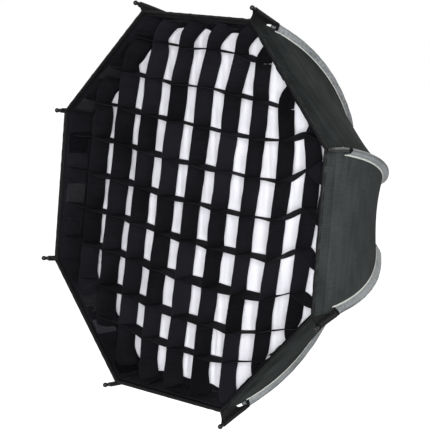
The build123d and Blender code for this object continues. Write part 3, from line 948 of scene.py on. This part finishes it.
def strip(upright, number, finish):
    """A strip of the egg crate, from rim to rim, slotted at each crossing.

    Columns run along it from knot to knot, rows go back. Between two crossings it goes from
    one shift to the next and bulges with half a sine. The half of it that is free of the
    slots leans, and flops to a side at each crossing.
    """
    name = f"{'v' if upright else 'h'}{number}"
    at = strip_places[number - 1]
    stations, (sideways, lengthways), (side_lean, long_lean) = strip_knots(upright, number)
    cells, per_cell, rows, half_slot = len(stations) - 1, 15, 15, 0.0005
    bulged, leaned, flopped = (0.0008, 0.0012, 0.0008) if upright else (0.0007, 0.0018, 0.0012)
    draw = np.random.RandomState(200 + 10 * number + upright)
    bulge, lean = draw.uniform(-1, 1, (2, cells, 1))
    sideways[[0, -1]] += draw.uniform(-0.0015, 0.0015, 2) + END_TUGS.get(name, 0.0)
    flop = draw.uniform(-1, 1, (2, cells, 1)) * flopped
    end_side = 0.3 * draw.choice([-1, 1])

    back = np.linspace(0, 1, rows)[:, None, None]
    way = np.linspace(0, 1, per_cell)
    depth = strip_front + strip_depth * back
    knots = at + sideways[:, None] + side_lean[:, None] * back
    side = side_distance(depth, strip_inset)
    reach = reach_at(side, knots[:, [0, -1]]) + 0.0002
    slots = (stations + lengthways)[1:-1, None] + long_lean[1:-1, None] * back
    start = np.concatenate([-reach[:, :1], slots + half_slot], 1)
    stop = np.concatenate([slots - half_slot, reach[:, 1:]], 1)
    along = start + (stop - start) * way
    free = np.clip(2 * back - 1 if upright else 1 - 2 * back, 0, 1)
    swell = np.sin(np.pi * way)
    eased = 0.7 * way + 0.3 * smooth(way)
    lateral = knots[:, :-1] + np.diff(knots, axis=1) * eased + bulge * bulged * swell
    lateral += lean * leaned * swell * (free**1.3 + 0.25 * (0.5 - back))
    lateral += (flop[0] * (1 - way) ** 2 + flop[1] * way**2) * free**1.2
    curl, front, rear = drawn_ends(upright, along, reach, knots, back)
    lateral += curl * (1 if upright else end_side)
    wavy = 0.0004 * ripples(along, at + back, 300 + number, 0.03)
    depth = depth + front * (1 - back) + rear * back + wavy * (1 - 2 * back)
    # Painted light and shade: each cell lighter or darker at random for the light on its bulge,
    # painted shade darkening towards the crossings, and darker on the half free of the slots.
    painted_light_and_tone = draw.uniform(-1, 1, (cells, 1)) - 0.9 * (1 - swell) ** 3 - 0.5 * free + 0.3
    along, lateral, depth, painted_light_and_tone = (
        np.broadcast_to(value, (rows, cells, per_cell)).reshape(rows, -1)
        for value in (along, lateral, depth, painted_light_and_tone)
    )
    keep = np.ones((rows - 1, cells * per_cell - 1), bool)
    slotted = slice(rows // 2, None) if upright else slice(rows // 2)
    keep[slotted, np.arange(1, cells) * per_cell - 1] = False
    parts = (lateral, front_y + depth, along) if upright else (along, front_y + depth, lateral)
    made = piece(
        f"strip_cloth_{name}", np.stack(parts, -1), finish, body="grid",
        stands_for=f"grid_strip_{name}", thickness=0.0009, offset=0.0,
        keep=keep, flip=not upright, tone=painted_light_and_tone,
    )
    flat = strip_depth, reach[0].sum()


def tab(name, x, z, lit_and_shaded_finishes, seed):
    """A strip's end, turned aside and sewn flat on the rim: a rectangle whose free end lifts.

    It lies along its side of the octagon, towards the side's middle where a corner is near.
    The lift grows with the 1.6th power of the share of its length, and with the depth.
    """
    inset, draw = 0.0074, np.random.RandomState(seed)
    low, high = (0.016, 0.001, -1, -0.001, 0), (0.028, 0.005, 1, 0.002, 3)
    # which picks a deeper, plain or paler copy of the black cloth: painted shade or painted light.
    length, lift, twist, front, which = draw.uniform(low, high)
    direction = 45.0 * round(np.degrees(np.arctan2(z, x)) / 45)
    turn = np.radians(direction)
    start = z * np.cos(turn) - x * np.sin(turn)
    limit = side_distance(strip_rear, 0.008) * np.tan(half_side) - 0.001
    way = draw.choice([-1, 1]) if abs(start) + length < limit else -np.sign(start)
    back, share = np.linspace(0, 1, 12)[:, None], np.linspace(0, 1, 14)
    depth = strip_front + front + (strip_depth - 0.001) * back
    tilt = 0.0022 * twist * (share - 0.4) * np.sin(np.pi * back)
    depth = depth + 0.0012 * ripples(share * length, 0, seed, 0.02) * (0.5 - back) + tilt
    along = np.clip(start + way * length * share, -limit, limit)
    rise = lift * share**1.6 * (0.5 + 0.5 * twist * (2 * back - 1))
    rise += 0.0004 * ripples(along, depth, seed + 50, 0.012)
    points = laid_round(side_distance(depth, inset) - rise, front_y + depth, along, direction)
    # Painted light and shade: a deeper, plain or paler copy of the black cloth and a random
    # lighter or darker tone, for the light on the tab's lifted shape.
    made = piece(
        f"tab_cloth_{name}", points, lit_and_shaded_finishes[int(which)], body="grid",
        thickness=0.0008, flip=way > 0, tone=1.2 * draw.uniform(-1, 1),
    )


def tabs(number, lit_and_shaded_finishes):
    """The tabs at both ends of an upright strip, and of the level one of the same number."""
    at = strip_places[number - 1]
    tip = reach_at(side_distance(strip_front), at)
    for last, reach in enumerate((-tip, tip)):
        end, seed = "ab"[last], 10 * number + last
        tab(f"v{number}{end}", at + grid_drift(at, reach)[0], reach, lit_and_shaded_finishes, 400 + seed)
        tab(f"h{number}{end}", reach, at + grid_drift(reach, at)[1], lit_and_shaded_finishes, 500 + seed)


def rim(finish):
    """Band that the strips are sewn to, with waves inwards."""
    front, rear, inset = 0.004, 0.034, 0.0048
    depth = np.linspace(front, rear, 20)[:, None]
    share, around = way_round(60)
    waves = 1 + ripples(around * side_length, depth, 121, 0.03, 3.0)
    distance = side_distance(depth, inset) - 0.0005 * waves * (1 - share**8)
    made = piece(
        "rim_cloth", band(distance, depth, share), finish, body="grid",
        stands_for="grid_rim", thickness=0.0009, ring=True,
    )


# ---- Stage ----


def camera():
    """A long lens to the front and right of the softbox, level with it and slightly rolled."""
    lens = bpy.data.cameras.new("camera")
    lens.lens, lens.sensor_width = 175.238, 36.0
    made = added("camera", lens)
    right = (0.68261, 0.72692, 0.07503)
    up = (-0.12625, 0.01618, 0.99187)
    back = (0.71979, -0.68653, 0.10282)
    turn = Matrix((right, up, back)).transposed().to_4x4()
    made.matrix_world = Matrix.Translation((1.81521, -1.94619, 0.24950)) @ turn
    bpy.context.scene.camera = made


def softlight(name, place, width, power, target=(0, -0.15, 0)):
    """A square light at a place, turned to a target, unseen by the camera."""
    light = bpy.data.lights.new(name, "AREA")
    light.shape, light.size, light.energy = "SQUARE", width, power
    made = added(name, light)
    made.visible_camera = False
    back = unit(np.subtract(place, target))
    side = unit(np.cross((0, 0, 1), back))
    turn = Matrix((side, np.cross(back, side), back)).transposed().to_4x4()
    made.matrix_world = Matrix.Translation(place) @ turn


def world():
    """White surroundings, under a third as strong in their light as where they are seen."""
    made = bpy.data.worlds.new("studio")
    bpy.context.scene.world = made
    studio = Nodes(made)
    seen = studio.add("LightPath", output="Is Camera Ray")
    for kind in ("Glossy", "Transmission"):
        other = studio.add("LightPath", output=f"Is {kind} Ray")
        seen = studio.add("Math", [seen, other], operation="MAXIMUM")
    strength = studio.add("MapRange", {"Value": seen, "To Min": 0.3, "To Max": 1.0})
    light = {"Strength": strength, "Color": (1.0, 1.0, 1.0, 1.0)}
    studio.fill(studio.nodes["Background"], light)


def floor():
    """Plain pale floor, which shines white to the camera and keeps the object's shadow."""
    half, low = 12.0, cad_bounds[0].z - 0.3
    corners = [(x * half, y * half, low) for x, y in ((-1, -1), (1, -1), (1, 1), (-1, 1))]
    mesh = bpy.data.meshes.new("floor")
    mesh.from_pydata(corners, [], [(0, 1, 2, 3)])
    made = added("floor", mesh)
    paint = Finish("floor", 0.9, shine=0.0)
    seen = paint.add("LightPath", output="Is Camera Ray")
    glow = paint.add("MapRange", {"Value": seen, "To Max": 0.86})
    paint.look({"Base Color": (0.85, 0.85, 0.85, 1.0)})
    paint.look({"Emission Color": (1.0, 1.0, 1.0, 1.0), "Emission Strength": glow})
    mesh.materials.append(paint.material)


# ---- Everything in its place ----

camera()
world()
floor()
softlight("key", (1.87, -2.05, 0.24), 0.7, 90.0, (0, -0.2, 0))
softlight("fill", (-1.9, -1.6, 0.9), 1.6, 10.0)
softlight("back", (0.3, 2.2, 1.2), 1.4, 3.0)
softlight("side", (2.4, 0.5, -0.2), 0.6, 5.0)
bpy.context.scene.view_settings.view_transform = "Standard"

# The cover's cloth is darker in its hem, where it lies double, and the lining's is pebbled
cover_cloth = woven(
    "cover_cloth", (28, 31, 31), (64, 67, 67), 0.6, 0.0008, hem=0.0225, painted_light_and_tone=0.18, shine=0.01,
)
silver_cloth = woven(
    "silver_cloth", (182, 184, 188), (205, 207, 210), 0.42, 0.0012, nap=1.0, metal=0.7,
)
grey_cloth = woven(
    "grey_cloth", (72, 76, 78), (138, 142, 144), 0.36, 0.0006, crumple=0.0003, painted_light_and_tone=0.16,
)
piping_cloth = woven(
    "piping_cloth", (190, 192, 186), (208, 210, 204), 0.45, 0.0006, crumple=0.0002, shine=0.4,
)
white_cloth = woven(
    "white_cloth", (231, 231, 238), (238, 238, 244), 0.85, 0.0005, crumple=0.0004, shine=0.2,
)
black_cloth = black_finish()
webbing = webbing_finish()
plastic = gloss_finish()
zinc_steel = steel_finish("zinc_steel", (150, 152, 156), (190, 192, 196), 0.35)
spring_steel = steel_finish("spring_steel", (120, 122, 126), (160, 162, 166), 0.3)
bright = aluminium_finish("bright_aluminium", (185, 187, 190), (212, 213, 215), 0.32)
anodised = aluminium_finish("anodised_aluminium", (44, 44, 46), (64, 64, 66), 0.4)

tapes = "grid_loop_tape", "diffuser_loop_tape", "diffuser_hook_tape", "grid_hook_tape"
dress(hook_and_loop_finish(), *tapes)
dress(plastic, "lock_knob")
dress(nylon_finish(), "hub_ring")
dress(zinc_steel, "socket_screws", "retaining_screws", "lock_screw")
dress(bright, "rod_sockets")
dress(anodised, "adapter_ring", "retaining_ring")
dress(rubber_finish(), "lock_pad")

for number in range(1, 9):
    cover(number, cover_cloth)
    lining(number, silver_cloth)
    rod(number, spring_steel)
    tip_cap(number, plastic)
    sleeve(number, grey_cloth, black_cloth)
    piping(number, piping_cloth)
    gusset(number, webbing)
lip_facing(black_cloth)
binding(webbing)
collar(black_cloth)
border(black_cloth)
diffuser(white_cloth)
rim(black_cloth)
# Deeper and paler copies of the black cloth paint shade and light on the tabs.
lit_and_shaded_tab_cloths = [black_finish("tab_cloth_painted_shade", -7), black_cloth, black_finish("tab_cloth_painted_light", 19)]
for number in range(1, cells_across):
    strip(True, number, black_cloth)
    strip(False, number, black_cloth)
    tabs(number, lit_and_shaded_tab_cloths)
